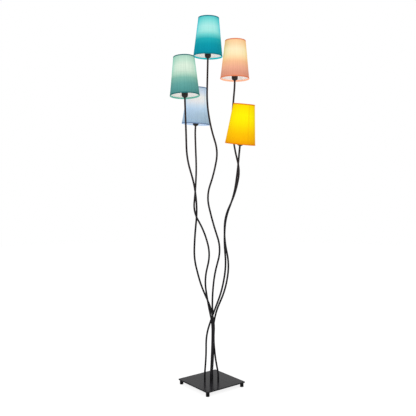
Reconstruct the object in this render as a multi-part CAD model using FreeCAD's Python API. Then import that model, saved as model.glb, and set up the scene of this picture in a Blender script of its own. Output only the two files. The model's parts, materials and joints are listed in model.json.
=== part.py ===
"""Tree floor lamp: five bent stems rise from a square plate, each with its own cone shade.

Millimetres, +Z up. The origin is the middle of the plate, on the floor, and X and Y run along
the plate's sides. Each arm has a frame of its own for what sits on the stem: the middle of the
shade's bottom rim, with Z up along the leaning axis of the lampholder.
"""
import FreeCAD, Part
import math
import os

from FreeCAD import Placement, Rotation, Vector

# ---- driving dimensions ------------------------------------------------------------------

# base
PLATE_SIDE = 209.0
PLATE_THICKNESS = 5.0
PLATE_CORNER = 2.5
PLATE_EDGE = 0.8
FOOT_HEIGHT = 18.0
FOOT_RADIUS = 8.0
FOOT_INSET = 10.5               # foot axis to each of the two nearest plate sides
STEM_PITCH = 21.0               # hole pattern: one in the middle, four at +-pitch
BLIND_DEPTH = 3.8               # screw holes in the plate's underside

# stems
STEM_RADIUS = 4.0
STEM_BORE = 2.5
SPIGOT_RADIUS = 3.5             # turned end that goes through the plate
SPIGOT_BOTTOM = 11.0
STEM_FIRST_RUN = 32.0           # upright above the plate
STEM_LAST_RUN = 38.0            # along the lampholder's axis
STEM_IN_HOLDER = 10.0
ARC_SHARE = 0.45                # part of the shorter run that a bend takes up

# lampholder, heights in the arm's own frame
HOLDER_RADIUS = 14.0
HOLDER_BOTTOM = -7.0
HOLDER_LEDGE = 10.0             # where the core stands in the cup
HOLDER_SHOULDER = 20.0
SLEEVE_RADIUS = 13.0
SLEEVE_TOP = 46.0
CORE_RADIUS = 10.9
SHELL_RADIUS = 7.5

# shade
RIM_RADIUS = 63.0
CROWN_RADIUS = 44.6
SHADE_HEIGHT = 165.0
SKIN = 0.9
HEM_HEIGHT = 3.6
HEM_RISE = 0.5
RING_WIRE = 1.5                 # radius of the wire of both rings
SPOKE_WIRE = 1.05
SPOKES = 3
SPOKE_START = 15.2              # inner end, under the fitter and clear of the cup
SPOKE_BEND = 31.0
FITTER_OUTER = 17.5
FITTER_THICKNESS = 1.4
NUT_RADIUS = 18.5
NUT_HEIGHT = 6.0
GRIPS = 10

# bulb
BULB_RADIUS = 17.5
BULB_JOINT = 68.0               # where the diffuser meets the collar
BULB_TIP = 122.0

# fits
TURNING_FIT = 0.05              # radial play where a ring or a bulb turns on its thread
LOOSE_FIT = 0.1

# junction box under the plate
BOX_LEFT, BOX_RIGHT, BOX_HALF_WIDTH = -61.0, 38.0, 36.0
BOX_WALL = 1.6
BOX_BOTTOM = 4.0
POST_RADIUS = 3.4
POST_INSET = 6.0
INLET_HEIGHT = 11.8
INLET_BORE = 3.2
POLE_PITCH = 8.0
LEAD_RADIUS = 1.2
LEAD_LEVEL = 7.2

PLATE_TOP = FOOT_HEIGHT + PLATE_THICKNESS
FOOT_AXIS = PLATE_SIDE / 2 - FOOT_INSET
FOOT_PLACES = {"right": (1, 1), "back": (-1, 1), "left": (-1, -1), "front": (1, -1)}

# Each arm: the hole its stem stands in (in pitches), the middle of its shade's rim, how far the
# axis leans towards +X and +Y in degrees, the turn of its spokes, and the stem's route between
# the upright start and the run into the lampholder.
ARMS = {
    "teal": {
        "hole": (1, 1), "rim": (-33.0, -117.5, 1254.4), "lean": (-4.1, 1.3), "spin": 45,
        "route": [(8, 15, 120), (-2, 13, 200), (0, 16, 270), (-10, 3, 345), (-33, -33, 440),
                  (-42, -64, 560), (-33, -66, 660), (-19, -63, 770), (-19, -77, 880),
                  (-33, -108, 990), (-29, -115, 1120)],
    },
    "turquoise": {
        "hole": (0, 0), "rim": (-29.6, 2.7, 1433.2), "lean": (0.9, 0.8), "spin": 135,
        "route": [(3, 4, 120), (4, 6, 240), (0, 3, 380), (3, 13, 490), (17, 41, 600),
                  (-12, 16, 715), (-32, -3, 830), (-11, 22, 930), (0, 36, 1025),
                  (-20, 12, 1125), (-32, -1, 1232)],
    },
    "apricot": {
        "hole": (-1, 1), "rim": (30.4, 104.3, 1340.5), "lean": (-0.6, 1.6), "spin": 225,
        "route": [(-16, 23, 130), (-15, 17, 230), (-4, 26, 320), (27, 56, 420), (41, 67, 530),
                  (28, 49, 640), (26, 52, 740), (48, 93, 840), (55, 115, 940), (37, 100, 1030),
                  (24, 91, 1140)],
    },
    "blue": {
        "hole": (1, -1), "rim": (-150.5, 26.4, 1152.4), "lean": (3.3, 2.0), "spin": 315,
        "route": [(19, -15, 120), (14, -7, 200), (10, -3, 275), (-2, -17, 360), (-24, -21, 465),
                  (-32, 19, 575), (-71, 16, 670), (-122, -8, 760), (-131, 10, 850),
                  (-140, 23, 950), (-149, 25, 1050)],
    },
    "yellow": {
        "hole": (-1, -1), "rim": (141.9, 39.1, 1049.2), "lean": (7.8, 0.6), "spin": 45,
        "route": [(-13, -20, 130), (-2, -28, 230), (21, -9, 320), (46, 20, 420), (65, 29, 530),
                  (70, 13, 640), (82, 10, 740), (113, 33, 840), (129, 37, 940)],
    },
}

# ---- forms -------------------------------------------------------------------------------


def rod(radius, bottom, top, x=0.0, y=0.0):
    """An upright cylinder."""
    return Part.makeCylinder(radius, top - bottom, Vector(x, y, bottom))


def box(x0, x1, y0, y1, z0, z1):
    """A block between two opposite corners."""
    return Part.makeBox(x1 - x0, y1 - y0, z1 - z0, Vector(x0, y0, z0))


def turned(*outline):
    """A solid turned about Z. An item is the next corner (r, z), or (through, end) for an arc."""
    here = Vector(outline[0][0], 0, outline[0][1])
    edges = []
    for item in outline[1:] + outline[:1]:
        if isinstance(item[0], tuple):
            through, end = (Vector(r, 0, z) for r, z in item)
            edges.append(Part.Arc(here, through, end).toShape())
        else:
            end = Vector(item[0], 0, item[1])
            edges.append(Part.LineSegment(here, end).toShape())
        here = end
    return Part.Face(Part.Wire(edges)).revolve(Vector(), Vector(0, 0, 1), 360)


def bent_path(points):
    """Straight runs joined by tangent arcs, with the arcs' radii."""
    edges, radii = [], []
    here = points[0]
    for before, corner, after in zip(points, points[1:], points[2:]):
        back, ahead = before - corner, after - corner
        setback = ARC_SHARE * min(back.Length, ahead.Length)
        back.normalize()
        ahead.normalize()
        half_turn = (math.pi - back.getAngle(ahead)) / 2
        radius = setback / math.tan(half_turn)
        middle = (back + ahead).normalize()
        inside = corner + middle * (radius / math.cos(half_turn) - radius)
        start, end = corner + back * setback, corner + ahead * setback
        edges.append(Part.LineSegment(here, start).toShape())
        edges.append(Part.Arc(start, inside, end).toShape())
        radii.append(radius)
        here = end
    edges.append(Part.LineSegment(here, points[-1]).toShape())
    return Part.Wire(edges), radii


def tube_along(points, radius):
    """A round rod along a bent path."""
    path, radii = bent_path(points)
    first_run = points[1] - points[0]
    section = Part.Wire(Part.makeCircle(radius, points[0], first_run))
    return path.makePipeShell([section], True, False), path, radii


def fused(first, *others):
    """One solid of several that meet."""
    return first.multiFuse(list(others)).removeSplitter()


def lean_direction(arm):
    """The way an arm's lampholder points."""
    toward_x, toward_y = (math.tan(math.radians(angle)) for angle in arm["lean"])
    return Vector(toward_x, toward_y, 1).normalize()


def arm_place(arm):
    """The arm's own frame: the rim's middle, Z along the leaning axis, turned by its spin."""
    lean = Rotation(Vector(0, 0, 1), lean_direction(arm))
    return Placement(Vector(*arm["rim"]), lean * Rotation(Vector(0, 0, 1), arm["spin"]))


def hole_place(arm):
    return STEM_PITCH * arm["hole"][0], STEM_PITCH * arm["hole"][1]


# ---- base --------------------------------------------------------------------------------

BOX_POSTS = [(x, y * (BOX_HALF_WIDTH - POST_INSET))
             for x in (BOX_LEFT + POST_INSET, BOX_RIGHT - POST_INSET) for y in (-1, 1)]


def base_plate():
    half = PLATE_SIDE / 2
    plate = box(-half, half, -half, half, FOOT_HEIGHT, PLATE_TOP)
    upright = [e for e in plate.Edges if abs(e.Vertexes[0].Z - e.Vertexes[1].Z) > 1]
    plate = plate.makeFillet(PLATE_CORNER, upright)
    rim = [e for e in plate.Edges if e.BoundBox.ZMin > PLATE_TOP - 0.01]
    plate = plate.makeFillet(PLATE_EDGE, rim)
    holes = [rod(SPIGOT_RADIUS + LOOSE_FIT, FOOT_HEIGHT - 1, PLATE_TOP + 1, *hole_place(arm))
             for arm in ARMS.values()]
    blind_top = FOOT_HEIGHT + BLIND_DEPTH
    holes += [rod(2.05, FOOT_HEIGHT - 1, blind_top, x * FOOT_AXIS, y * FOOT_AXIS)
              for x, y in FOOT_PLACES.values()]
    holes += [rod(1.55, FOOT_HEIGHT - 1, blind_top, x, y) for x, y in BOX_POSTS]
    return plate.cut(holes)


def foot(x, y):
    """A turned foot with a sunk seat for its screw."""
    body = turned((2.2, 8), (4.6, 8), (4.6, 0), (7.2, 0), (FOOT_RADIUS, 0.8),
                  (FOOT_RADIUS, FOOT_HEIGHT), (2.2, FOOT_HEIGHT))
    body.translate(Vector(x * FOOT_AXIS, y * FOOT_AXIS, 0))
    return body


def pan_screw(x, y, seat, tip, shank, head, head_height):
    """A slotted screw driven up from below, its head under the seat."""
    screw = turned((0, seat - head_height), (head * 0.8, seat - head_height),
                   (head, seat - head_height * 0.6), (head, seat), (shank, seat),
                   (shank, tip), (0, tip))
    screw = screw.cut(box(-head, head, -0.4, 0.4, seat - head_height, seat - head_height * 0.6))
    screw.translate(Vector(x, y, 0))
    return screw


def foot_screws():
    return Part.makeCompound([pan_screw(x * FOOT_AXIS, y * FOOT_AXIS, 8, 21.5, 2.0, 3.8, 2.4)
                              for x, y in FOOT_PLACES.values()])


def hex_nut(across_flats, bore, bottom, top, x, y):
    """A plain hexagon nut."""
    corner = across_flats / math.sqrt(3)
    outline = [Vector(corner * math.cos(math.radians(60 * k)),
                      corner * math.sin(math.radians(60 * k)), bottom) for k in range(7)]
    nut = Part.Face(Part.makePolygon(outline)).extrude(Vector(0, 0, top - bottom))
    nut = nut.cut(rod(bore, bottom - 1, top + 1))
    nut.translate(Vector(x, y, 0))
    return nut


def stem_washers():
    return Part.makeCompound([
        rod(7, FOOT_HEIGHT - 1, FOOT_HEIGHT, x, y).cut(rod(3.6, 0, 30, x, y))
        for x, y in map(hole_place, ARMS.values())])


def stem_nuts():
    return Part.makeCompound([hex_nut(11, 3.55, FOOT_HEIGHT - 5, FOOT_HEIGHT - 1, x, y)
                              for x, y in map(hole_place, ARMS.values())])


def junction_box():
    """A frame of four walls with screw posts, closed by the plate above and a lid below."""
    bottom = BOX_BOTTOM + BOX_WALL
    frame = box(BOX_LEFT, BOX_RIGHT, -BOX_HALF_WIDTH, BOX_HALF_WIDTH, bottom, FOOT_HEIGHT)
    frame = frame.makeFillet(4, [e for e in frame.Edges
                                 if abs(e.Vertexes[0].Z - e.Vertexes[1].Z) > 1])
    frame = frame.cut(box(BOX_LEFT + BOX_WALL, BOX_RIGHT - BOX_WALL, BOX_WALL - BOX_HALF_WIDTH,
                          BOX_HALF_WIDTH - BOX_WALL, 0, 30))
    posts = [rod(POST_RADIUS, bottom, FOOT_HEIGHT, x, y) for x, y in BOX_POSTS]
    ties = [box(min(x, wall), max(x, wall), y - 1, y + 1, bottom, FOOT_HEIGHT)
            for x, y in BOX_POSTS for wall in [BOX_LEFT + 1 if x < 0 else BOX_RIGHT - 1]]
    frame = fused(frame, *posts, *ties)
    frame = frame.cut([rod(1.7, 0, 30, x, y) for x, y in BOX_POSTS])
    inlet = Part.makeCylinder(4.4, 8, Vector(BOX_LEFT - 4, 0, INLET_HEIGHT), Vector(1, 0, 0))
    return frame.cut(inlet)


def box_lid():
    lid = box(BOX_LEFT, BOX_RIGHT, -BOX_HALF_WIDTH, BOX_HALF_WIDTH, BOX_BOTTOM,
              BOX_BOTTOM + BOX_WALL)
    lid = lid.makeFillet(4, [e for e in lid.Edges
                             if abs(e.Vertexes[0].Z - e.Vertexes[1].Z) > 1])
    return lid.cut([rod(1.7, 0, 30, x, y) for x, y in BOX_POSTS])


def box_screws():
    return Part.makeCompound([pan_screw(x, y, BOX_BOTTOM, 21.4, 1.5, 2.8, 1.8)
                              for x, y in BOX_POSTS])


def pole_rows():
    """Y of each terminal, from one side of the block to the other."""
    return [POLE_PITCH * k for k in (-2, -1, 0, 1, 2)]


def terminal_block():
    """Five joined terminals with a lead hole through each and a screw well from below."""
    block = box(-56, -40, -21, 21, 8.4, FOOT_HEIGHT)
    leads = [Part.makeCylinder(1.5, 30, Vector(-60, y, 13), Vector(1, 0, 0))
             for y in pole_rows()]
    wells = [rod(1.6, 8, 12, x, y) for x in (-52.5, -43.5) for y in pole_rows()]
    gaps = [box(-57, -39, y - 0.8, y + 0.8, 8, 11)
            for y in (-1.5 * POLE_PITCH, -0.5 * POLE_PITCH, 0.5 * POLE_PITCH, 1.5 * POLE_PITCH)]
    return block.cut(leads + wells + gaps)


def cord_grommet():
    """A bushing in the box wall with the bore that the mains cord goes through."""
    ring = turned((INLET_BORE, -2.6), (5.6, -2.6), (5.6, -0.8), (4.3, -0.8), (4.3, 0.8),
                  (5.6, 0.8), (5.6, 2.2), (INLET_BORE, 2.2))
    ring.Placement = Placement(Vector(BOX_LEFT + BOX_WALL / 2, 0, INLET_HEIGHT),
                               Rotation(Vector(0, 0, 1), Vector(1, 0, 0)))
    return ring


def stem_leads():
    """The lead out of each stem, laid along the lid and up into its own terminal."""
    holes = sorted(map(hole_place, ARMS.values()),
                   key=lambda hole: (hole[1], -hole[0] * hole[1]))
    leads = []
    for (x, y), row in zip(holes, pole_rows()):
        route = [Vector(x, y, 16), Vector(x, y, LEAD_LEVEL), Vector(-30, row, LEAD_LEVEL),
                 Vector(-36, row, 13), Vector(-46, row, 13)]
        leads.append(tube_along(route, LEAD_RADIUS)[0])
    return Part.makeCompound(leads)


# ---- one arm -----------------------------------------------------------------------------


def stem(arm):
    """The bent tube: a spigot through the plate below, bored where the lead enters and leaves."""
    x, y = hole_place(arm)
    rim, axis = Vector(*arm["rim"]), lean_direction(arm)
    top = rim + axis * (HOLDER_BOTTOM + STEM_IN_HOLDER)
    points = [Vector(x, y, PLATE_TOP), Vector(x, y, PLATE_TOP + STEM_FIRST_RUN)]
    points += [Vector(*point) for point in arm["route"]]
    points += [top - axis * STEM_LAST_RUN, top]
    body, path, radii = tube_along(points, STEM_RADIUS)
    body = body.fuse(rod(SPIGOT_RADIUS, SPIGOT_BOTTOM, PLATE_TOP, x, y))
    lower_bore = rod(STEM_BORE, SPIGOT_BOTTOM - 1, PLATE_TOP + 14, x, y)
    upper_bore = Part.makeCylinder(STEM_BORE, 16, top - axis * 15, axis)
    body = body.cut([lower_bore, upper_bore])
    return body, path, radii


def holder_cap():
    """Rounded cup of the lampholder, with a ledge that the core stands on."""
    grip = STEM_RADIUS + TURNING_FIT
    floor = HOLDER_BOTTOM + STEM_IN_HOLDER
    return turned((grip, HOLDER_BOTTOM), (5.6, HOLDER_BOTTOM),
                  ((11.3, -3.4), (HOLDER_RADIUS - 0.7, 4)), (HOLDER_RADIUS, 13),
                  (HOLDER_RADIUS, HOLDER_SHOULDER), (12, HOLDER_SHOULDER), (12, HOLDER_LEDGE),
                  (11, HOLDER_LEDGE), (11, floor), (grip, floor))


def holder_sleeve():
    """Threaded sleeve, its lower end in the cup and a lip over the core at its top."""
    skirt = 12 - TURNING_FIT
    return turned((11, 12), (skirt, 12), (skirt, HOLDER_SHOULDER),
                  (SLEEVE_RADIUS, HOLDER_SHOULDER),
                  (SLEEVE_RADIUS, SLEEVE_TOP - 0.8), (SLEEVE_RADIUS - 0.8, SLEEVE_TOP),
                  (8.4, SLEEVE_TOP), (8.4, 43), (11, 43))


def holder_core():
    """Insulating insert: a flange on the cup's ledge and a well for the screw shell."""
    core = turned((1.5, HOLDER_LEDGE), (11.9, HOLDER_LEDGE), (11.9, 12), (CORE_RADIUS, 12),
                  (CORE_RADIUS, 43),
                  (SHELL_RADIUS, 43), (SHELL_RADIUS, 16), (1.5, 16))
    lead_ways = [rod(1.2, 9, 17, 5 * side, 0) for side in (-1, 1)]
    return core.cut(lead_ways)


def contact_set():
    """The screw shell that grips the bulb and the contact under it."""
    shell = turned((7.05, 17), (SHELL_RADIUS, 17), (SHELL_RADIUS, 42), (7.05, 42))
    button = turned((0, 14), (1.4, 14), (1.4, 16), (2.6, 16), (2.6, 16.5), (0, 16.5))
    return [shell, button]


def shade_nut():
    """Ring that screws down on the sleeve and clamps the shade, with finger grips."""
    bottom = HOLDER_SHOULDER + FITTER_THICKNESS + 2 * TURNING_FIT
    top = bottom + NUT_HEIGHT
    bore = SLEEVE_RADIUS + TURNING_FIT
    ring = turned((bore, bottom), (NUT_RADIUS - 0.8, bottom), (NUT_RADIUS, bottom + 0.8),
                  (NUT_RADIUS, top - 2), (NUT_RADIUS - 2.5, top), (bore, top))
    cuts = []
    for k in range(GRIPS):
        turn = math.radians(360 * k / GRIPS)
        reach = NUT_RADIUS + 0.6
        cuts.append(rod(1.6, bottom - 1, top + 1, reach * math.cos(turn), reach * math.sin(turn)))
    return ring.cut(cuts)


def wall_radius(height):
    """Outer radius of the cone at a height above its rim."""
    return RIM_RADIUS + (CROWN_RADIUS - RIM_RADIUS) * height / SHADE_HEIGHT


def shade_skin():
    """Fabric cone with a bound hem at each end."""
    hem_top, hem_low = SHADE_HEIGHT - HEM_HEIGHT, HEM_HEIGHT
    return turned((RIM_RADIUS - SKIN, 0), (RIM_RADIUS + HEM_RISE, 0),
                  (wall_radius(hem_low) + HEM_RISE, hem_low), (wall_radius(hem_low), hem_low),
                  (wall_radius(hem_top), hem_top), (wall_radius(hem_top) + HEM_RISE, hem_top),
                  (CROWN_RADIUS + HEM_RISE, SHADE_HEIGHT), (CROWN_RADIUS - SKIN, SHADE_HEIGHT))


def ring_radius(height):
    """Middle line of a ring that lies against the inside of the cone."""
    return wall_radius(height) - SKIN - RING_WIRE - 0.1


def wire_ring(height):
    return Part.makeTorus(ring_radius(height), RING_WIRE, Vector(0, 0, height))


def shade_frame():
    """Welded wires: a flat fitter, spokes down to the bottom ring, and the crown ring."""
    fitter_bottom = HOLDER_SHOULDER + TURNING_FIT
    bore = SLEEVE_RADIUS + LOOSE_FIT
    fitter = turned((bore, fitter_bottom), (FITTER_OUTER, fitter_bottom),
                    (FITTER_OUTER, fitter_bottom + FITTER_THICKNESS),
                    (bore, fitter_bottom + FITTER_THICKNESS))
    low = RING_WIRE + 0.3
    under_fitter = fitter_bottom - SPOKE_WIRE
    inside_ring = ring_radius(low) - RING_WIRE - SPOKE_WIRE
    spokes = []
    for k in range(SPOKES):
        spoke, _, _ = tube_along([Vector(SPOKE_START, 0, under_fitter),
                                  Vector(SPOKE_BEND, 0, under_fitter),
                                  Vector(inside_ring, 0, 5.5), Vector(inside_ring, 0, 0.6)],
                                 SPOKE_WIRE)
        spoke.rotate(Vector(), Vector(0, 0, 1), 360 * k / SPOKES)
        spokes.append(spoke)
    return [fitter, *spokes, wire_ring(low), wire_ring(SHADE_HEIGHT - low)]


def bulb_globe():
    """Candle diffuser, open at the bottom where the collar closes it."""
    return turned((BULB_RADIUS - 0.2, BULB_JOINT), ((BULB_RADIUS + 0.4, 78), (16.2, 90)),
                  ((11, 106), (2.6, 119)), ((2.1, 120.9), (0.8, BULB_TIP)), (0, BULB_TIP),
                  (0, 118.2), (1, 118.2), ((9.9, 104.6), (14.9, 89.5)),
                  ((BULB_RADIUS - 0.9, 78), (BULB_RADIUS - 1.4, BULB_JOINT)))


def bulb_base():
    """Collar and screw cap of the bulb."""
    return turned((0, 16.6), (2.4, 16.6), (3.2, 17.6), (6.9, 20), (6.9, 43.4), (7.9, 44.4),
                  (7.9, 47), ((12.6, 52.5), (15.6, 60)), (BULB_RADIUS - 0.2, BULB_JOINT),
                  (0, BULB_JOINT))


# ---- pieces ------------------------------------------------------------------------------


def placed(shapes, place):
    """Copies of the shapes, moved from the arm's frame into the lamp's."""
    moved = []
    for shape in shapes:
        copy = shape.copy()
        copy.Placement = place.multiply(copy.Placement)
        moved.append(copy)
    return moved


def build():
    """All nodes by name, each a list of solids."""
    nodes = {
        "base_plate": [base_plate()],
        "foot_screws": [foot_screws()],
        "stem_washers": [stem_washers()],
        "stem_nuts": [stem_nuts()],
        "junction_box": [junction_box()],
        "box_lid": [box_lid()],
        "box_screws": [box_screws()],
        "terminal_block": [terminal_block()],
        "cord_grommet": [cord_grommet()],
        "stem_leads": [stem_leads()],
        "contact_sets": [],
    }
    for name, (x, y) in FOOT_PLACES.items():
        nodes["foot_" + name] = [foot(x, y)]
    patterns = {
        "holder_cap": [holder_cap()],
        "holder_sleeve": [holder_sleeve()],
        "holder_core": [holder_core()],
        "shade_nut": [shade_nut()],
        "shade_skin": [shade_skin()],
        "shade_frame": shade_frame(),
        "bulb_globe": [bulb_globe()],
        "bulb_base": [bulb_base()],
    }
    contacts = contact_set()
    for colour, arm in ARMS.items():
        body, path, radii = stem(arm)
        nodes["stem_" + colour] = [body]
        section = math.pi * STEM_RADIUS ** 2
        spigot = math.pi * SPIGOT_RADIUS ** 2 * (PLATE_TOP - SPIGOT_BOTTOM)
        bores = math.pi * STEM_BORE ** 2 * (PLATE_TOP - SPIGOT_BOTTOM + 14 + 15)
        ratio = body.Volume / (section * path.Length + spigot - bores)
        print(f"stem_{colour}: {path.Length:.0f} mm long, volume/expected {ratio:.4f}, "
              f"bend radii {[round(r) for r in radii]}")
        place = arm_place(arm)
        for kind, shapes in patterns.items():
            nodes[f"{kind}_{colour}"] = placed(shapes, place)
        nodes["contact_sets"] += placed(contacts, place)
    return nodes


def main():
    os.makedirs("parts", exist_ok=True)
    nodes = build()
    for name, shapes in nodes.items():
        shape = shapes[0] if len(shapes) == 1 else Part.makeCompound(shapes)
        if not shape.isValid() or not shape.Solids:
            print("not valid:", name)
        shape.exportStep(f"parts/{name}.step")
    whole = Part.makeCompound([shape for shapes in nodes.values() for shape in shapes]).BoundBox
    print(len(nodes), "nodes,", sum(len(shape.Solids) for shapes in nodes.values()
                                    for shape in shapes), "solids")
    print(f"x {whole.XMin:.1f} {whole.XMax:.1f}  y {whole.YMin:.1f} {whole.YMax:.1f}  "
          f"z {whole.ZMin:.1f} {whole.ZMax:.1f}")


main()
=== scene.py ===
# %% [markdown]
# # A tree floor lamp in Blender
#
# Five bent steel stems rise from a square plate. Each carries a cup-shaped lampholder, a small
# screw-in bulb and a cloth cone, and every cone has its own colour. The construction model is
# loaded first and fixes all sizes. The cells after it dress that model: a piece whose shape is
# already right keeps its mesh and gets a finish, and a piece that needs softer or finer forms
# is modelled again here, at the same place.

# %% Load the lamp's frame
import math
import json

import bpy
from mathutils import Matrix, Vector


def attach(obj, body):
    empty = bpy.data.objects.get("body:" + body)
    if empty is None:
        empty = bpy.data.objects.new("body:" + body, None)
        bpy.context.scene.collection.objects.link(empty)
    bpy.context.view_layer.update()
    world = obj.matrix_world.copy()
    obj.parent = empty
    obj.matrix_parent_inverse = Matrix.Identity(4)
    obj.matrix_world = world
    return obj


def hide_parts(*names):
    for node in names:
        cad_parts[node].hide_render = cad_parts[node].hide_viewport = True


MM = 0.001
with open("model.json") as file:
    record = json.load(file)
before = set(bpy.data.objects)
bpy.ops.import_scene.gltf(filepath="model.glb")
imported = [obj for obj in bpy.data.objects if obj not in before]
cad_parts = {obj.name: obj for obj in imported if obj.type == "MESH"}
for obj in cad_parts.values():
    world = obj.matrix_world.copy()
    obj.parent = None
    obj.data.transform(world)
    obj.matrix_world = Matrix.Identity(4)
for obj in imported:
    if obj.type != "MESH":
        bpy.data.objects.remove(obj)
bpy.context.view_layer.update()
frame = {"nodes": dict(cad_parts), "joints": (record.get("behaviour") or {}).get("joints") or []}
joints = {joint["name"]: joint for joint in frame["joints"]}

# %% [markdown]
# ## Where each arm's parts sit
#
# The cup, the shade and the bulb of one arm share an axis that leans a little. Its joint in the
# loaded model gives that axis and a point 20 mm above the shade's bottom rim. From these comes
# one matrix per arm, which carries a piece modelled upright at the origin to its place.

# %% A place for each arm
ARM_NAMES = ["teal", "turquoise", "apricot", "blue", "yellow"]
JOINT_ABOVE_RIM = 20 * MM
SPOKE_TURNS = {"teal": 45, "turquoise": 135, "apricot": 225, "blue": 315, "yellow": 45}
SEAM_TURNS = {"teal": 142, "turquoise": 155, "apricot": 130, "blue": 8, "yellow": -8}


def arm_matrix(name, turn):
    """Carries an upright piece to this arm's axis, turned about it by so many degrees."""
    joint = joints["shade_turn_" + name]
    axis = Vector(joint["axis"]).normalized()
    rim = Vector(joint["pos_m"]) - axis * JOINT_ABOVE_RIM
    lean = Vector((0, 0, 1)).rotation_difference(axis).to_matrix().to_4x4()
    return Matrix.Translation(rim) @ lean @ Matrix.Rotation(math.radians(turn), 4, "Z")


FRAME_PLACES = {name: arm_matrix(name, SPOKE_TURNS[name]) for name in ARM_NAMES}
CLOTH_PLACES = {name: arm_matrix(name, SEAM_TURNS[name] - 180) for name in ARM_NAMES}
for name, place in FRAME_PLACES.items():
    print(name, "rim at", [round(v, 4) for v in place.translation])

# %% [markdown]
# ## The camera first
#
# The photograph looks almost level at the whole lamp from two and a half metres, with one
# corner of the plate towards the viewer. A 50 mm lens on a 36 mm sensor gives that flat
# perspective, and the aim dips by less than three degrees.

# %% Camera
VIEW_TURN = math.radians(52.14)
VIEW_DIP = math.radians(2.69)
VIEW_DISTANCE = 2.499
VIEW_SIDE_STEP = -0.0154
VIEW_HEIGHT = 0.897
LENS = 50
SENSOR = 36

to_right = Vector((math.cos(VIEW_TURN), math.sin(VIEW_TURN), 0))
away = Vector((-math.sin(VIEW_TURN), math.cos(VIEW_TURN), 0))

camera_data = bpy.data.cameras.new("camera")
camera_data.lens = LENS
camera_data.sensor_width = SENSOR
camera = bpy.data.objects.new("camera", camera_data)
camera.location = to_right * VIEW_SIDE_STEP - away * VIEW_DISTANCE + Vector((0, 0, VIEW_HEIGHT))
camera.rotation_euler = (math.pi / 2 - VIEW_DIP, 0, VIEW_TURN)
bpy.context.scene.collection.objects.link(camera)
bpy.context.scene.camera = camera
bpy.context.scene.view_settings.view_transform = "Standard"
print("camera at", [round(v, 3) for v in camera.location])

# %% [markdown]
# ## Shader sums as Python
#
# A woven cloth needs a few sines, a noise and some products. Written as nodes by hand that is a
# page of links, so a wire between two nodes is wrapped in a small class. Adding or multiplying
# wires then adds the matching Math node, and `Finish.add` makes every other kind of node.

# %% Wires and finishes


class Wire:
    """A value that travels through a material's nodes."""

    def __init__(self, finish, socket):
        self.finish = finish
        self.socket = socket

    def _math(self, operation, *values):
        return self.finish.add("ShaderNodeMath", {"operation": operation}, dict(enumerate(values)))

    def __add__(self, other):
        return self._math("ADD", self, other)

    def __sub__(self, other):
        return self._math("SUBTRACT", self, other)

    def __rsub__(self, other):
        return self._math("SUBTRACT", other, self)

    def __mul__(self, other):
        return self._math("MULTIPLY", self, other)

    def __truediv__(self, other):
        return self._math("DIVIDE", self, other)

    __radd__ = __add__
    __rmul__ = __mul__

    def sine(self):
        return self._math("SINE", self)

    def beside(self, output):
        """Another output of the node that this wire leaves."""
        return Wire(self.finish, self.socket.node.outputs[output])

    def spread(self, low, high):
        """The value, stretched so that low becomes 0 and high becomes 1, and held between them."""
        return self.finish.add("ShaderNodeMapRange", {"clamp": True},
                               {"Value": self, "From Min": low, "From Max": high})


class Finish:
    """One material, built up node by node."""

    def __init__(self, name):
        self.material = bpy.data.materials.new(name)
        self.material.use_nodes = True
        self.nodes = self.material.node_tree.nodes
        self.links = self.material.node_tree.links
        self.nodes.clear()

    def add(self, kind, settings=None, inputs=None, output=0):
        """A node of this kind: its settings first, then values or wires for its sockets."""
        node = self.nodes.new(kind)
        for key, value in (settings or {}).items():
            if key == "stops":
                self._set_stops(node.color_ramp, value)
            else:
                setattr(node, key, value)
        for key, value in (inputs or {}).items():
            if isinstance(value, Wire):
                self.links.new(value.socket, node.inputs[key])
            else:
                node.inputs[key].default_value = value
        return Wire(self, node.outputs[output]) if node.outputs else None

    @staticmethod
    def _set_stops(ramp, stops):
        while len(ramp.elements) < len(stops):
            ramp.elements.new(0.5)
        for element, (place, colour) in zip(ramp.elements, stops):
            element.position = place
            element.color = (*colour, 1)

    def object_point(self):
        return self.add("ShaderNodeTexCoord", output="Object")

    def noise(self, point, scale, detail=2.0, roughness=0.5):
        return self.add("ShaderNodeTexNoise", {"noise_dimensions": "3D"},
                        {"Vector": point, "Scale": scale, "Detail": detail,
                         "Roughness": roughness})

    def blend(self, share, colour_a, colour_b):
        """colour_a where share is 0, colour_b where it is 1."""
        return self.add("ShaderNodeMix", {"data_type": "RGBA"},
                        {0: share, 6: colour_a, 7: colour_b}, output=2)

    def bump(self, height, strength, depth):
        return self.add("ShaderNodeBump", None,
                        {"Height": height, "Strength": strength, "Distance": depth})

    def shade(self, sockets):
        """Ends the material in a Principled shader with these socket values."""
        shader = self.add("ShaderNodeBsdfPrincipled", None, sockets)
        self.add("ShaderNodeOutputMaterial", None, {"Surface": shader})
        return self.material


def seen(red, green, blue):
    """A screen colour, 0 to 255, as the light value that shows it."""
    def light(value):
        value = value / 255
        return value / 12.92 if value <= 0.04045 else ((value + 0.055) / 1.055) ** 2.4
    return tuple(light(value) for value in (red, green, blue))


def opaque(colour):
    return (*colour, 1)


# %% [markdown]
# ## Powder coat
#
# The stems, the plate and the feet are black, yet none is a flat black. Powder coat cures into
# a fine orange peel: the colour stays even, while the gloss breaks up. A small noise drives the
# bump and a broad one moves the roughness a little. The bulbs' light on the stems is painted on
# as a warm emission by height, so their upper halves look brown and the lower ones a cool black.

# %% Coated metal and black plastics
# The stems' painted warm glow from the bulbs fades in between these heights, in this colour.
WARM_FROM, WARM_TO = 0.75, 1.15
PAINTED_LAMPLIGHT = (0.0155, 0.0080, 0.0060)
UNLIT = (0.0, 0.0, 0.0)


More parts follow.
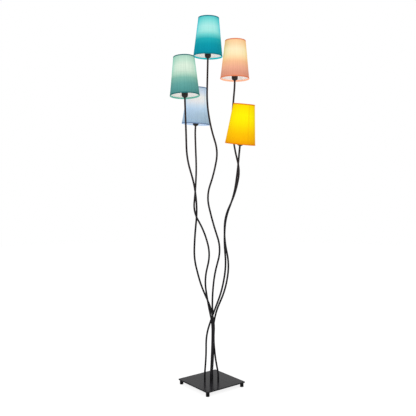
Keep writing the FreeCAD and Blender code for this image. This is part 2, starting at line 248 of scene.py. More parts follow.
def coated(name, colour, gloss_break, roughness, peel, gloss=0.5, painted_lamplight=None):
    """Paint on metal, or plastic, with a fine peel; a painted warm glow from the bulbs lights its
    upper part.
    """
    finish = Finish(name)
    point = finish.object_point()
    fine = finish.noise(point, peel, 3.0)
    broad = finish.noise(point, 18.0, 2.0)
    lighter = tuple(min(1.0, value * 1.5 + 0.004) for value in colour)
    sockets = {
        "Base Color": finish.blend(broad.spread(0.35, 0.75), opaque(colour), opaque(lighter)),
        "Roughness": broad.spread(0.3, 0.7) * gloss_break + (roughness - gloss_break / 2),
        "Specular IOR Level": gloss, "Normal": finish.bump(fine, 0.2, 0.0001),
    }
    # The stems' warm glow near the shades is painted light from the bulbs: emission that fades in
    # with height.
    if painted_lamplight:
        height = finish.add("ShaderNodeSeparateXYZ", None, {0: point}).beside("Z")
        sockets["Emission Color"] = finish.blend(
            height.spread(WARM_FROM, WARM_TO), opaque(UNLIT), opaque(painted_lamplight))
        sockets["Emission Strength"] = 1.0
    return finish.shade(sockets)


stem_coat = coated("stem_coat", (0.0090, 0.0082, 0.0096), 0.10, 0.42, 900.0, 0.06, PAINTED_LAMPLIGHT)
plate_coat = coated("plate_coat", (0.0120, 0.0112, 0.0135), 0.06, 0.22, 900.0, 0.06)
foot_black = coated("foot_black", (0.002, 0.002, 0.0022), 0.08, 0.26, 1100.0, 0.06)
cup_black = coated("cup_black", (0.014, 0.011, 0.010), 0.10, 0.42, 1300.0, 0.22)
box_black = coated("box_black", (0.020, 0.020, 0.021), 0.15, 0.55, 700.0)

# %% [markdown]
# ## Bare metals, white plastics and rubber
#
# What hides under the plate and inside the lampholder still has its own finish: zinc screws
# with a faint mottle, brass contacts, moulded white plastic and a rubber bushing.

# %% Small hardware finishes


def bare_metal(name, colour, roughness, mottle):
    finish = Finish(name)
    point = finish.object_point()
    clouds = finish.noise(point, mottle, 4.0)
    darker = tuple(value * 0.72 for value in colour)
    return finish.shade({
        "Base Color": finish.blend(clouds.spread(0.3, 0.7), opaque(darker), opaque(colour)),
        "Roughness": clouds.spread(0.25, 0.75) * 0.18 + roughness, "Metallic": 1.0,
        "Normal": finish.bump(finish.noise(point, 2600.0), 0.12, 0.00005),
    })


def moulded(name, colour, roughness, bumpiness=0.1):
    finish = Finish(name)
    point = finish.object_point()
    grain = finish.noise(point, 1500.0, 2.0)
    shading = finish.noise(point, 30.0, 1.0)
    dimmer = tuple(value * 0.9 for value in colour)
    return finish.shade({
        "Base Color": finish.blend(shading.spread(0.3, 0.7), opaque(dimmer), opaque(colour)),
        "Roughness": grain.spread(0.2, 0.8) * 0.1 + roughness,
        "Normal": finish.bump(grain, bumpiness, 0.00008),
    })


zinc = bare_metal("zinc", (0.62, 0.62, 0.60), 0.28, 260.0)
brass = bare_metal("brass", (0.80, 0.58, 0.26), 0.22, 200.0)
nickel = bare_metal("nickel", (0.72, 0.70, 0.67), 0.18, 150.0)
white_plastic = moulded("white_plastic", (0.84, 0.83, 0.79), 0.45)
collar_white = moulded("collar_white", (0.90, 0.90, 0.88), 0.30)
white_lacquer = moulded("white_lacquer", (0.86, 0.85, 0.82), 0.35)
grommet_rubber = moulded("grommet_rubber", (0.018, 0.018, 0.018), 0.60, 0.2)
lead_sheath = moulded("lead_sheath", (0.78, 0.78, 0.75), 0.35)

# %% [markdown]
# ## Shade cloth, lit from inside
#
# The bulb's lower half is an opaque collar, so its light leaves upwards and sideways: the cloth
# glows from the middle of the cone to the crown and keeps its own deep colour near the rim. A
# real lamp inside each cone would need thousands of light paths, so the glow is painted: a ramp
# over the height gives the colour that the cloth shows when lit, and what the cloth's own
# colour in room light doesn't reach is added as emission.
#
# Light that leaves at a slant has passed more dyed thread, so a lit cone is deeper in colour
# towards its outline. A coat with a tint and hardly any gloss does just that in the shader.
#
# The cloth is a slub weave. Thin threads cross, and some warp threads are thicker, which shows
# as soft upright streaks when light comes through. The pattern follows the cone through its UV
# map, whose units are metres round and up the cone.

# %% Cloth finish
RIM_RADIUS = 63.0
CROWN_RADIUS = 44.6
CONE_HEIGHT = 165.0
THREAD = 0.75
LAP = 9.0
LAP_EDGE = 0.5
LAP_SHADE = 0.18
ROOM_LIGHT = 0.80
DYE_FROM, DYE_TO = 0.2, 0.6


def wrapped(finish):
    """Two wires from the piece's own map: millimetres round the cone, and up."""
    surface = finish.add("ShaderNodeUVMap", {"uv_map": "wrap"})
    across = finish.add("ShaderNodeSeparateXYZ", None, {0: surface})
    return surface, across / MM, across.beside("Y") / MM


def stretched(finish, surface, across, along, detail=3.0):
    """Noise on the map, with this many features per metre each way."""
    scaled = finish.add("ShaderNodeMapping", None,
                        {"Vector": surface, "Scale": (across, along, 1.0)})
    return finish.noise(scaled, 1.0, detail, 0.55)


def woven_height(across, along):
    """Over-and-under relief of a plain weave, 0 to 1."""
    warp = (across * (math.pi / THREAD)).sine()
    weft = (along * (math.pi / THREAD)).sine()
    return warp * weft * 0.5 + 0.5


def dye_share(place):
    """How much of the dyed layer counts at this height: light leaves only above the collar."""
    return min(1.0, max(0.0, (place - DYE_FROM) / (DYE_TO - DYE_FROM)))


def glow_stops(shown, own, dye):
    """What emission must add at each height so that the cloth shows the wanted colour."""
    stops = []
    for place, colour in shown:
        share = dye_share(place)
        passed = [1.0 - share + share * value for value in dye]
        stops.append((place, tuple(
            max(0.0, want / pass_ - ROOM_LIGHT * have)
            for want, have, pass_ in zip(seen(*colour), own, passed))))
    return stops


def cloth(name, own, dye, shown, streaks):
    """Slub cloth: its own colour, its dye layer, the colours shown rim to crown, streaks."""
    finish = Finish(name)
    surface, across, along = wrapped(finish)
    thin_slubs = stretched(finish, surface, 640.0, 12.0)
    wide_slubs = stretched(finish, surface, 190.0, 7.0)
    cross_slubs = stretched(finish, surface, 12.0, 260.0)
    streak = (thin_slubs * 0.5 + wide_slubs * 0.35 + cross_slubs * 0.15).spread(0.36, 0.64)
    fibre = stretched(finish, surface, 1600.0, 160.0)
    lap_start = math.pi * RIM_RADIUS - LAP
    lap = across.spread(lap_start, lap_start + LAP_EDGE)
    ramp = finish.add("ShaderNodeValToRGB", {"stops": glow_stops(shown, own, dye)},
                      {0: along / CONE_HEIGHT})
    # The painted glow is patchy with the slub streaks and painted darker at the lap seam, where
    # two layers pass less light.
    passing = (1.0 - streaks + streak * streaks * 1.6) * (1.0 - lap * LAP_SHADE)
    lit = finish.add("ShaderNodeVectorMath", {"operation": "SCALE"},
                     {0: ramp, "Scale": passing})
    deeper = tuple(value * 0.78 for value in own)
    body = finish.blend(streak * 0.6 + fibre * 0.4, opaque(deeper), opaque(own))
    relief = woven_height(across, along) * 0.6 + fibre * 0.5 + thin_slubs * 0.8 + lap * 1.5
    return finish.shade({
        "Base Color": body, "Roughness": 0.9, "Specular IOR Level": 0.08,
        "Coat Weight": (along / CONE_HEIGHT).spread(DYE_FROM, DYE_TO), "Coat Roughness": 0.9,
        "Coat IOR": 1.01, "Coat Tint": opaque(dye),
        "Emission Color": lit, "Emission Strength": 1.0,
        "Normal": finish.bump(relief, 0.5, 0.00022),
    })


CLOTHS = {
    "teal": cloth("cloth_teal", (0.075, 0.28, 0.25), (0.74, 0.92, 0.90), [
        (0.00, (76, 136, 134)), (0.12, (84, 150, 147)), (0.25, (99, 162, 156)),
        (0.40, (131, 186, 171)), (0.50, (186, 218, 198)), (0.60, (219, 236, 217)),
        (0.72, (226, 240, 221)), (0.85, (203, 230, 210)), (1.00, (172, 211, 192))], 0.26),
    "turquoise": cloth("cloth_turquoise", (0.002, 0.24, 0.31), (0.55, 0.88, 0.95), [
        (0.00, (3, 134, 152)), (0.12, (4, 142, 162)), (0.25, (10, 150, 166)),
        (0.40, (34, 173, 180)), (0.50, (112, 212, 208)), (0.60, (172, 237, 227)),
        (0.72, (180, 238, 231)), (0.85, (142, 227, 221)), (1.00, (78, 200, 199))], 0.14),
    "apricot": cloth("cloth_apricot", (0.52, 0.25, 0.165), (1.0, 0.92, 0.78), [
        (0.00, (224, 146, 118)), (0.12, (224, 156, 130)), (0.25, (239, 174, 143)),
        (0.40, (249, 193, 148)), (0.50, (255, 221, 171)), (0.60, (255, 238, 192)),
        (0.72, (255, 240, 199)), (0.85, (252, 222, 175)), (1.00, (252, 202, 150))], 0.12),
    "blue": cloth("cloth_blue", (0.32, 0.48, 0.66), (0.84, 0.95, 1.0), [
        (0.00, (150, 180, 210)), (0.12, (168, 195, 220)), (0.25, (176, 203, 228)),
        (0.40, (195, 222, 249)), (0.50, (216, 235, 254)), (0.60, (240, 245, 254)),
        (0.72, (244, 249, 254)), (0.85, (217, 233, 254)), (1.00, (190, 215, 242))], 0.10),
    "yellow": cloth("cloth_yellow", (0.82, 0.40, 0.0), (1.0, 0.90, 1.0), [
        (0.00, (236, 152, 1)), (0.12, (245, 178, 1)), (0.25, (251, 191, 1)),
        (0.40, (255, 213, 2)), (0.50, (254, 228, 1)), (0.60, (255, 238, 2)),
        (0.72, (253, 242, 2)), (0.85, (254, 233, 1)), (1.00, (250, 216, 1))], 0.08),
}

# %% [markdown]
# ## Hem tape, lining and the lit bulb
#
# A bias tape in a deeper tone binds both edges of each cone. It lies over the cloth and the
# lining, so little light passes outside, while its folded-in part faces the bulb and shines. That
# light is painted: both sides get emission, weak outside and strong inside, and the inside has a
# lighter colour that stands for the bulb's light on it. The lining is white and takes the bulb's
# light directly, painted on as emission by height, and the bulb's diffuser is the brightest thing
# in the lamp.

# %% Tape, lining and diffuser finishes


def tape(name, colour, glow):
    """Ribbed tape that shows a colour of its own plus painted light from behind, as emission."""
    finish = Finish(name)
    surface, _, _ = wrapped(finish)
    threads = stretched(finish, surface, 900.0, 900.0)
    darker = tuple(value * 0.72 for value in colour)
    return finish.shade({
        "Base Color": finish.blend(threads.spread(0.3, 0.7), opaque(darker), opaque(colour)),
        "Roughness": 0.85, "Specular IOR Level": 0.1,
        "Emission Color": opaque(colour), "Emission Strength": glow,
        "Normal": finish.bump(threads, 0.4, 0.0002),
    })


# Each tape's own deeper colour outside, and a lighter colour inside that is painted light from the
# bulb.
TAPE_COLOURS = {
    "teal": ((30, 104, 108), (96, 170, 152)),
    "turquoise": ((0, 116, 132), (10, 174, 182)),
    "apricot": ((232, 130, 90), (246, 176, 140)),
    "blue": ((112, 140, 178), (176, 200, 230)),
    "yellow": ((232, 136, 0), (250, 186, 10)),
}
# Both sides shine with painted light: weakly outside, strongly on the inside that faces the bulb.
TAPES = {name: (tape("tape_" + name, seen(*outside), 0.15),
                tape("tape_inside_" + name, seen(*inside), 0.55))
         for name, (outside, inside) in TAPE_COLOURS.items()}


def glowing(name, own, stops, strength, grain):
    """A surface that shines by height: its own colour, and emission stops from rim to crown."""
    finish = Finish(name)
    _, _, along = wrapped(finish)
    ramp = finish.add("ShaderNodeValToRGB", {"stops": stops}, {0: along / CONE_HEIGHT})
    speckle = finish.noise(finish.object_point(), grain, 2.0)
    return finish.shade({
        "Base Color": opaque(own), "Roughness": 0.6,
        "Emission Color": ramp, "Emission Strength": strength,
        "Normal": finish.bump(speckle, 0.15, 0.0001),
    })


# The lining's glow is painted light from the bulb, as emission that changes with height.
lining_painted_glow = glowing("lining_painted_glow", (0.62, 0.60, 0.59), [
    (0.0, (0.34, 0.33, 0.33)), (0.25, (0.40, 0.385, 0.375)), (0.6, (0.44, 0.42, 0.39)),
    (1.0, (0.34, 0.32, 0.29))], 1.0, 900.0)
diffuser_glow = glowing("diffuser_glow", (0.90, 0.89, 0.85), [
    (0.40, (0.70, 0.62, 0.50)), (0.48, (1.0, 0.92, 0.78)), (0.62, (1.0, 0.95, 0.85)),
    (0.75, (1.0, 0.90, 0.74))], 1.3, 400.0)

# %% [markdown]
# ## Turned shapes
#
# Sleeves, tapes, bulbs and the cones themselves are round. The maker's way is a lathe; in
# Blender the same result comes from a ring of points that is extruded upwards and resized at
# every step of the outline. Where an outline comes back to its start the two ends are merged
# and the wall is closed. An outline that reaches the axis ends in a ring too small to see, which
# merging turns into one point.

# %% Turning


AXIS = 0.001
MOST_CAP_SIDES = 12


def deselect():
    """Nothing stays selected, so that the next operator works on its own piece only."""
    if bpy.context.object and bpy.context.object.mode != "OBJECT":
        bpy.ops.object.mode_set(mode="OBJECT")
    bpy.ops.object.select_all(action="DESELECT")


def activate(*pieces):
    deselect()
    for piece in pieces:
        piece.select_set(True)
    bpy.context.view_layer.objects.active = pieces[0]


def start_ring(name, radius, sides):
    """A ring of points round the origin, open for editing and selected."""
    deselect()
    bpy.ops.mesh.primitive_circle_add(vertices=sides, radius=radius * MM, location=(0, 0, 0))
    piece = bpy.context.object
    piece.name = name
    bpy.ops.object.mode_set(mode="EDIT")
    bpy.ops.mesh.select_all(action="SELECT")
    return piece


def close_piece(piece, smooth):
    """Merges what coincides, caps thin ends, turns faces outwards, smooths shallow edges."""
    bpy.ops.mesh.select_all(action="SELECT")
    bpy.ops.mesh.remove_doubles(threshold=0.004 * MM)
    bpy.ops.mesh.select_all(action="SELECT")
    bpy.ops.mesh.fill_holes(sides=MOST_CAP_SIDES)
    bpy.ops.mesh.select_all(action="SELECT")
    bpy.ops.mesh.normals_make_consistent(inside=False)
    bpy.ops.object.mode_set(mode="OBJECT")
    bpy.ops.object.shade_smooth_by_angle(angle=math.radians(smooth))
    return piece


def turned(name, outline, sides=64, smooth=35):
    """A ring drawn through an outline of (radius, height) in millimetres."""
    radius, height = outline[0]
    piece = start_ring(name, radius, sides)
    bpy.ops.transform.translate(value=(0, 0, height * MM))
    for (before, low), (after, high) in zip(outline, outline[1:]):
        rise = {"value": (0, 0, (high - low) * MM)}
        bpy.ops.mesh.extrude_edges_move(TRANSFORM_OT_translate=rise)
        ratio = after / before
        bpy.ops.transform.resize(value=(ratio, ratio, 1), center_override=(0, 0, high * MM))
    return close_piece(piece, smooth)


def modify(piece, kind, **settings):
    """Adds a modifier, sets it and applies it."""
    activate(piece)
    modifier = piece.modifiers.new(kind.lower(), kind)
    for key, value in settings.items():
        setattr(modifier, key, value)
    bpy.ops.object.modifier_apply(modifier=modifier.name)
    return piece


# %% [markdown]
# ## One master, five copies
#
# The five arms carry the same parts, so each part is modelled once, upright at the origin, and
# copied to every arm. A copy gets a mesh of its own, because its place is written into its
# points and its object stays at the origin.

# %% Copies on the arms


def wrap(piece):
    """A UV map in metres: round the axis at the rim's radius, and up."""
    mesh = piece.data
    while mesh.uv_layers:
        mesh.uv_layers.remove(mesh.uv_layers[0])
    layer = mesh.uv_layers.new(name="wrap")
    for face in mesh.polygons:
        middle = math.atan2(face.center.y, face.center.x)
        for loop_index in face.loop_indices:
            point = mesh.vertices[mesh.loops[loop_index].vertex_index].co
            turn = math.atan2(point.y, point.x) - middle
            turn = (turn + math.pi) % (2 * math.pi) - math.pi
            layer.data[loop_index].uv = ((middle + turn) * RIM_RADIUS * MM, point.z)
    return piece


def finish_with(piece, *materials):
    """Gives the piece these materials, first to last."""
    slots = [face.material_index for face in piece.data.polygons]
    piece.data.materials.clear()
    for material in materials:
        piece.data.materials.append(material)
    for face, slot in zip(piece.data.polygons, slots):
        face.material_index = min(slot, len(materials) - 1)
    return piece


def place_copies(master, kind, body, finishes, places, stands_for=()):
    """A copy of the master for every arm, riding on that arm's body."""
    for name in ARM_NAMES:
        copy = master.copy()
        copy.data = master.data.copy()
        copy.name = copy.data.name = f"{kind}_{name}"
        copy.data.transform(places[name])
        bpy.context.scene.collection.objects.link(copy)
        chosen = finishes[name] if isinstance(finishes, dict) else finishes
        finish_with(copy, *(chosen if isinstance(chosen, (tuple, list)) else [chosen]))
        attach(copy, body.format(arm=name))
        if stands_for:
            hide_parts(*[node.format(arm=name) for node in stands_for])
    print(kind, "has", len(master.data.polygons), "faces")
    bpy.data.objects.remove(master)


# %% [markdown]
# ## The cones
#
# Each cone is cloth glued to a stiff white lining. The two are separate pieces here, because
# one shows outside and the other shows from below. The cloth has many rings, so that the
# surface stays smooth close up, and its ends meet in a lap seam, which is lifted a little.

# %% Cloth cones and their linings
CONE_SIDES = 120
CLOTH_THICKNESS = 0.45
LINING_THICKNESS = 0.4
LINING_INWARD = 0.5
LAP_LIFT = 0.3


def wall(height, inward=0.0):
    """The cone's outer radius at a height, less a distance inwards."""
    return RIM_RADIUS + (CROWN_RADIUS - RIM_RADIUS) * height / CONE_HEIGHT - inward


def cone_outline(low, high, count, inward):
    heights = [low + (high - low) * k / count for k in range(count + 1)]
    return [(wall(height, inward), height) for height in heights]


def lift_lap(piece, rise):
    """Lifts the narrow upright strip where one end of the cloth lies over the other."""
    for vertex in piece.data.vertices:
        before_seam = (math.pi - math.atan2(vertex.co.y, vertex.co.x)) * RIM_RADIUS
        if before_seam < LAP:
            outwards = Vector((vertex.co.x, vertex.co.y, 0)).normalized()
            vertex.co += outwards * rise * MM
    return piece


cloth_master = turned("cloth_master", cone_outline(0.4, CONE_HEIGHT - 0.4, 24, 0), CONE_SIDES)
lift_lap(cloth_master, LAP_LIFT)
modify(cloth_master, "SOLIDIFY", thickness=CLOTH_THICKNESS * MM, offset=-1)
wrap(cloth_master)
place_copies(cloth_master, "cloth", "shade_{arm}", CLOTHS, CLOTH_PLACES,
             ["shade_skin_{arm}"])

lining_outline = cone_outline(0.5, CONE_HEIGHT - 0.5, 12, LINING_INWARD)
lining_master = turned("lining_master", lining_outline, CONE_SIDES)
modify(lining_master, "SOLIDIFY", thickness=LINING_THICKNESS * MM, offset=-1)
wrap(lining_master)
place_copies(lining_master, "lining", "shade_{arm}", lining_painted_glow, CLOTH_PLACES)

# %% [markdown]
# ## Hem tapes
#
# The tape starts flat outside, rolls round the wire ring at the edge and ends on the lining.
# Its outline is drawn as a thin closed wall and turned in one go, at the rim and, the other way
# up, at the crown. What faces inwards or downwards gets the brighter finish, with painted light
# that stands for the bulb shining on it.

# %% Tapes at the rim and the crown
TAPE_TOP = 4.2
RING_INWARD = 2.5
RING_RISE = 1.8
ROLL_OUTER = 1.8
ROLL_INNER = 1.53


def tape_outline(edge, up):
    """Closed outline of a tape rolled round a ring; up is 1 at the rim and -1 at the crown."""
    def at(rise, inward):
        height = edge + up * rise
        return wall(height, inward), height

    def roll(radius, turns):
        return [at(RING_RISE - radius * math.cos(math.radians(turn)),
                   RING_INWARD + radius * math.sin(math.radians(turn))) for turn in turns]

    outer = [at(TAPE_TOP, -0.05), at(TAPE_TOP - 0.3, -0.38), at(0.8, -0.46), at(-0.05, -0.3),
             at(-0.35, 0.4), at(-0.2, 1.4)]
    outer += roll(ROLL_OUTER, range(0, 181, 30)) + [at(4.5, 1.5), at(6.2, 1.15), at(6.5, 0.95)]
    inner = [at(4.4, 1.1)] + roll(ROLL_INNER, range(180, -1, -30))
    inner += [at(0.2, 1.2), at(0.35, 0.4)]
    return outer + inner + [at(0.8, 0.02), at(TAPE_TOP, -0.05)]


def two_sided(piece):
    """Only faces that look away from the axis use the first finish."""
    for face in piece.data.polygons:
        middle = Vector((face.center.x, face.center.y, 0)).normalized()
        face.material_index = 0 if face.normal.dot(middle) > 0.3 else 1
    return piece


for kind, edge, up in (("rim_tape", 0.0, 1), ("crown_tape", CONE_HEIGHT, -1)):
    tape_master = turned(kind + "_master", tape_outline(edge, up), CONE_SIDES, 60)
    two_sided(tape_master)
    wrap(tape_master)
    place_copies(tape_master, kind, "shade_{arm}", TAPES, CLOTH_PLACES)

# %% [markdown]
# ## The wires inside each shade
#
# A stamped ring sits on the lampholder's shoulder under the nut. Three wires are welded under
# it, run outwards, bend down and end along the bottom ring. The other ring only holds the crown
# round. A wire is one circle that is pushed along its run, and spun about a centre for a bend.
#
# A spoke starts and bends down at distances from the axis, and its knee and end are heights over
# the rim. The two bends have radii of their own.

# %% Bent wire
RING_WIRE = 1.5
SPOKE_WIRE = 1.05
SPOKES = 3
SPOKE_START = 15.2
SPOKE_BEND = 31.0
SPOKE_KNEE = 5.5
SPOKE_END = 0.7
FIRST_BEND = 9.0
LAST_BEND = 3.0
FITTER_BOTTOM = 20.05
FITTER_BORE = 13.1
FITTER_OUTER = 17.5
FITTER_THICKNESS = 1.4
FITTER_EDGE = 0.3
LOW_RING = 1.8
SKIN = 0.9
RING_GAP = 0.1


def bent_wire(name, radius, start, moves, sides=12):
    """Wire in the XZ plane that sets out along +X: ("go", length) or ("bend", radius, degrees)."""
    piece = start_ring(name, radius, sides)
    bpy.ops.transform.rotate(value=math.pi / 2, orient_axis="Y", center_override=(0, 0, 0))
    at = Vector((start[0], 0, start[1])) * MM
    bpy.ops.transform.translate(value=at)
    heading = 0.0
    for move in moves:
        forward = Vector((math.cos(heading), 0, math.sin(heading)))
        if move[0] == "go":
            step = forward * move[1] * MM
            bpy.ops.mesh.extrude_edges_move(TRANSFORM_OT_translate={"value": step})
            at = at + step
        else:
            _, bend, degrees = move
            inside = Vector((math.sin(heading), 0, -math.cos(heading)))
            centre = at + inside * bend * MM
            turn = math.radians(degrees)
            bpy.ops.mesh.spin(steps=5, angle=-turn, center=centre, axis=(0, 1, 0))
            at = centre + Matrix.Rotation(turn, 3, "Y") @ (at - centre)
            heading -= turn
    print(name, "ends at", [round(v / MM, 2) for v in at])
    return close_piece(piece, 40)


# %% Shade frames


def ring_radius(height):
    return wall(height, SKIN + RING_WIRE + RING_GAP)


def wire_ring(name, height):
    deselect()
    bpy.ops.mesh.primitive_torus_add(
        major_segments=96, minor_segments=12, major_radius=ring_radius(height) * MM,
        minor_radius=RING_WIRE * MM, location=(0, 0, height * MM))
    piece = bpy.context.object
    piece.name = name
    bpy.ops.object.shade_smooth()
    return piece


def joined(*pieces):
    activate(*pieces)
    bpy.ops.object.join()
    bpy.ops.object.transform_apply(location=True, rotation=True, scale=True)
    return bpy.context.object


inside_ring = ring_radius(LOW_RING) - RING_WIRE - SPOKE_WIRE
spoke_top = FITTER_BOTTOM - SPOKE_WIRE
slope = math.atan2(spoke_top - SPOKE_KNEE, inside_ring - SPOKE_BEND)
print("spokes slope down by", round(math.degrees(slope), 1), "degrees")
inner_edge = FITTER_OUTER - FITTER_EDGE
fitter_top = FITTER_BOTTOM + FITTER_THICKNESS
frame_parts = [turned("fitter", [
    (FITTER_BORE, FITTER_BOTTOM), (inner_edge, FITTER_BOTTOM),
    (FITTER_OUTER, FITTER_BOTTOM + FITTER_EDGE), (FITTER_OUTER, fitter_top - FITTER_EDGE),
    (inner_edge, fitter_top), (FITTER_BORE, fitter_top), (FITTER_BORE, FITTER_BOTTOM)], 48)]
first_set = FIRST_BEND * math.tan(slope / 2)
last_turn = math.pi / 2 - slope
last_set = LAST_BEND * math.tan(last_turn / 2)
run = math.hypot(inside_ring - SPOKE_BEND, spoke_top - SPOKE_KNEE)
for k in range(SPOKES):
    spoke = bent_wire(f"spoke_{k}", SPOKE_WIRE, (SPOKE_START, spoke_top), [
        ("go", SPOKE_BEND - SPOKE_START - first_set), ("bend", FIRST_BEND, math.degrees(slope)),
        ("go", run - first_set - last_set), ("bend", LAST_BEND, math.degrees(last_turn)),
        ("go", SPOKE_KNEE - SPOKE_END - last_set)])
    spoke.data.transform(Matrix.Rotation(2 * math.pi * k / SPOKES, 4, "Z"))
    frame_parts.append(spoke)
frame_parts += [wire_ring("low_ring", LOW_RING), wire_ring("high_ring", CONE_HEIGHT - LOW_RING)]
frame_master = joined(*frame_parts)
place_copies(frame_master, "wires", "shade_{arm}", white_lacquer, FRAME_PLACES,
             ["shade_frame_{arm}"])

# %% [markdown]
# ## The bulbs
#
# Each bulb is a small candle with a screw cap. Its frosted diffuser is the only part that
# shines. The collar under it is white plastic and hides the electronics, and the metal cap has
# a rounded thread.

# %% Bulb diffuser
globe_master = turned("globe_master", [
    (AXIS, 67.6), (16.1, 67.6), (17.3, 68.0), (17.75, 72.0), (17.9, 78.0), (17.45, 84.0),
    (16.2, 90.0), (14.2, 96.0), (11.8, 102.0), (9.2, 107.6), (6.6, 112.6), (4.4, 116.6),
    (2.7, 119.4), (1.7, 121.2), (0.8, 121.9), (AXIS, 122.0)], 48, 60)
wrap(globe_master)
place_copies(globe_master, "diffuser", "bulb_{arm}", diffuser_glow,
             FRAME_PLACES, ["bulb_globe_{arm}"])

# %% Bulb collar and screw cap
collar_master = turned("collar_master", [
    (AXIS, 45.2), (7.0, 45.2), (7.9, 45.0), (8.3, 47.0), (9.6, 49.4), (11.4, 51.4), (13.0, 53.6),
    (14.5, 57.0), (15.6, 60.6), (16.5, 64.4), (17.2, 67.4), (17.0, 67.9), (16.0, 68.0),
    (AXIS, 68.0)], 48, 50)
place_copies(collar_master, "collar", "bulb_{arm}", collar_white, FRAME_PLACES,
             ["bulb_base_{arm}"])

CAP_PITCH, CAP_TURNS = 2.82, 7
SLEEVE_PITCH, SLEEVE_TURNS = 1.5, 11
THREAD_HALF = 0.62


def thread(name, sides, radius, start, rise, turns):
    """A small ring of so many sides, swept up round the axis; four sides make a sharp thread."""
    deselect()
    bpy.ops.mesh.primitive_circle_add(
        vertices=sides, radius=THREAD_HALF * MM, location=(radius * MM, 0, start * MM),
        rotation=(math.pi / 2, 0, 0))
    piece = bpy.context.object
    piece.name = name
    bpy.ops.object.transform_apply(location=True, rotation=True, scale=True)
    modify(piece, "SCREW", axis="Z", angle=2 * math.pi, screw_offset=rise * MM,
           iterations=turns, steps=36, render_steps=36, use_normal_calculate=True)
    bpy.ops.object.mode_set(mode="EDIT")
    return close_piece(piece, 40)


cap_master = turned("cap_master", [
    (AXIS, 16.6), (1.4, 17.2), (2.3, 16.6), (3.4, 17.6), (5.6, 18.8), (6.3, 20.0),
    (6.3, 43.6), (7.0, 45.0), (AXIS, 45.0)], 40, 40)
ridge = thread("ridge", 8, 6.25, 21.4, CAP_PITCH, CAP_TURNS)
cap_master = joined(cap_master, ridge)
place_copies(cap_master, "screw_cap", "bulb_{arm}", nickel, FRAME_PLACES)

# %% [markdown]
# ## Threaded sleeves
#
# The lampholder's sleeve carries the thread that the shade's nut runs on. The sleeve is turned,
# and its sharp thread is a small ring of four sides, swept round it by a Screw modifier.

# %% Lampholder sleeves
sleeve_master = turned("sleeve_master", [
    (11.0, 12.0), (11.95, 12.0), (11.95, 20.0), (12.55, 20.0), (12.55, 45.2), (12.0, 46.0),
    (8.6, 46.0), (8.4, 45.8), (8.4, 43.0), (11.0, 43.0), (11.0, 12.0)], 56)
worm = thread("worm", 4, 12.4, 28.1, SLEEVE_PITCH, SLEEVE_TURNS)
sleeve_master = joined(sleeve_master, worm)
place_copies(sleeve_master, "sleeve", "stand", cup_black, FRAME_PLACES,
             ["holder_sleeve_{arm}"])

# %% [markdown]
# ## Parts that keep their form
#
# The stems, the plate, the feet, the lampholder cups and the small hardware already have the
# right shape, so they only get their finish.

# %% Finishes for the remaining parts
KEPT = {
    "stem": stem_coat, "base": plate_coat, "foot": foot_black, "holder_cap": cup_black,
    "holder_core": white_plastic, "shade_nut": cup_black, "stem_washers": zinc,
    "stem_nuts": zinc, "foot_screws": zinc, "box_screws": zinc, "junction_box": box_black,
    "box_lid": box_black, "terminal_block": white_plastic, "cord_grommet": grommet_rubber,
    "stem_leads": lead_sheath, "contact_sets": brass,
}


def kept_finish(node_name):
    """The finish whose key is the longest beginning of the node's name."""
    keys = [key for key in KEPT if node_name.startswith(key)]
    return KEPT[max(keys, key=len)] if keys else None


for node_name, node in frame["nodes"].items():
    finish = kept_finish(node_name)
    if finish:
        finish_with(node, finish)
print("finished", sum(1 for name in frame["nodes"] if kept_finish(name)), "kept parts")

# %% [markdown]
# ## The studio
#
# The lamp stands on white with hardly any shadow. The lights stay plain: a wide soft lamp on
# the viewer's side gives the stems and the cones their form, and the surroundings fill in the
# rest. The white comes from the backdrop's colour and not from brighter lamps.

# %% Floor, surroundings and lamps
WHITE = (1.0, 1.0, 1.0)
FLOOR_RADIUS = 6.0
FLOOR_LIGHTING = (0.94, 0.94, 0.94)
FLOOR_SHADED = (0.34, 0.34, 0.34)
FLOOR_GLOW = 0.84
AMBIENT = 0.52


def seen_directly(finish):
    """1 for what the camera, a reflection or glass shows, and 0 for what only lights."""
    camera_ray = finish.add("ShaderNodeLightPath", output="Is Camera Ray")
    glossy_ray = camera_ray.beside("Is Glossy Ray")
    return (camera_ray + glossy_ray + camera_ray.beside("Is Transmission Ray")).spread(0.0, 1.0)


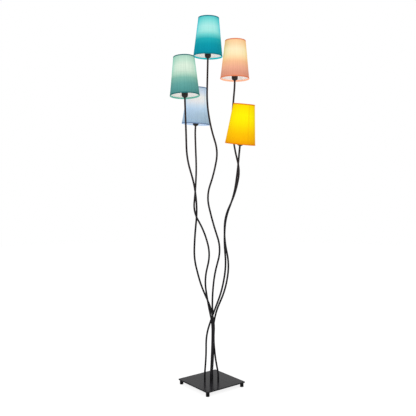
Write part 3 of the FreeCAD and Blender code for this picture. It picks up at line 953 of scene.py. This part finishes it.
floor_finish = Finish("floor_white")
plain = floor_finish.add("ShaderNodeBsdfDiffuse", None, {"Color": opaque(FLOOR_LIGHTING)})
faint = floor_finish.add("ShaderNodeBsdfDiffuse", None, {"Color": opaque(FLOOR_SHADED)})
white = floor_finish.add("ShaderNodeEmission", None,
                         {"Color": opaque(WHITE), "Strength": FLOOR_GLOW})
shown = floor_finish.add("ShaderNodeAddShader", None, {0: faint, 1: white})
mixed = floor_finish.add("ShaderNodeMixShader", None, {
    0: seen_directly(floor_finish), 1: plain, 2: shown})
floor_finish.add("ShaderNodeOutputMaterial", None, {"Surface": mixed})

deselect()
bpy.ops.mesh.primitive_circle_add(vertices=64, radius=FLOOR_RADIUS, fill_type="NGON",
                                  location=(0, 0, 0))
floor = bpy.context.object
floor.name = "floor"
floor.data.materials.append(floor_finish.material)

world = bpy.data.worlds.new("studio")
bpy.context.scene.world = world
world.use_nodes = True


class Surroundings(Finish):
    """The world's nodes, with the same helpers as a material's."""

    def __init__(self, target):
        self.material = target
        self.nodes = target.node_tree.nodes
        self.links = target.node_tree.links
        self.nodes.clear()


sky = Surroundings(world)
strength = seen_directly(sky) * (1.0 - AMBIENT) + AMBIENT
background = sky.add("ShaderNodeBackground", None,
                     {"Color": opaque(WHITE), "Strength": strength})
sky.add("ShaderNodeOutputWorld", None, {"Surface": background})


LAMP_WIDTH, LAMP_HEIGHT = 1.6, 2.4


def soft_lamp(name, place, aim, watts):
    """A wide, high rectangle of light at a place, turned towards its aim."""
    data = bpy.data.lights.new(name, "AREA")
    data.shape = "RECTANGLE"
    data.size, data.size_y = LAMP_WIDTH, LAMP_HEIGHT
    data.energy = watts
    lamp = bpy.data.objects.new(name, data)
    lamp.location = place
    lamp.rotation_euler = (Vector(aim) - Vector(place)).to_track_quat("-Z", "Y").to_euler()
    bpy.context.scene.collection.objects.link(lamp)
    return lamp


middle = Vector((0, 0, 0.85))
soft_lamp("key", middle - away * 2.6 - to_right * 1.0 + Vector((0, 0, 1.0)), middle, 36)
soft_lamp("fill", middle - away * 1.6 + to_right * 2.4 + Vector((0, 0, 0.4)), middle, 12)
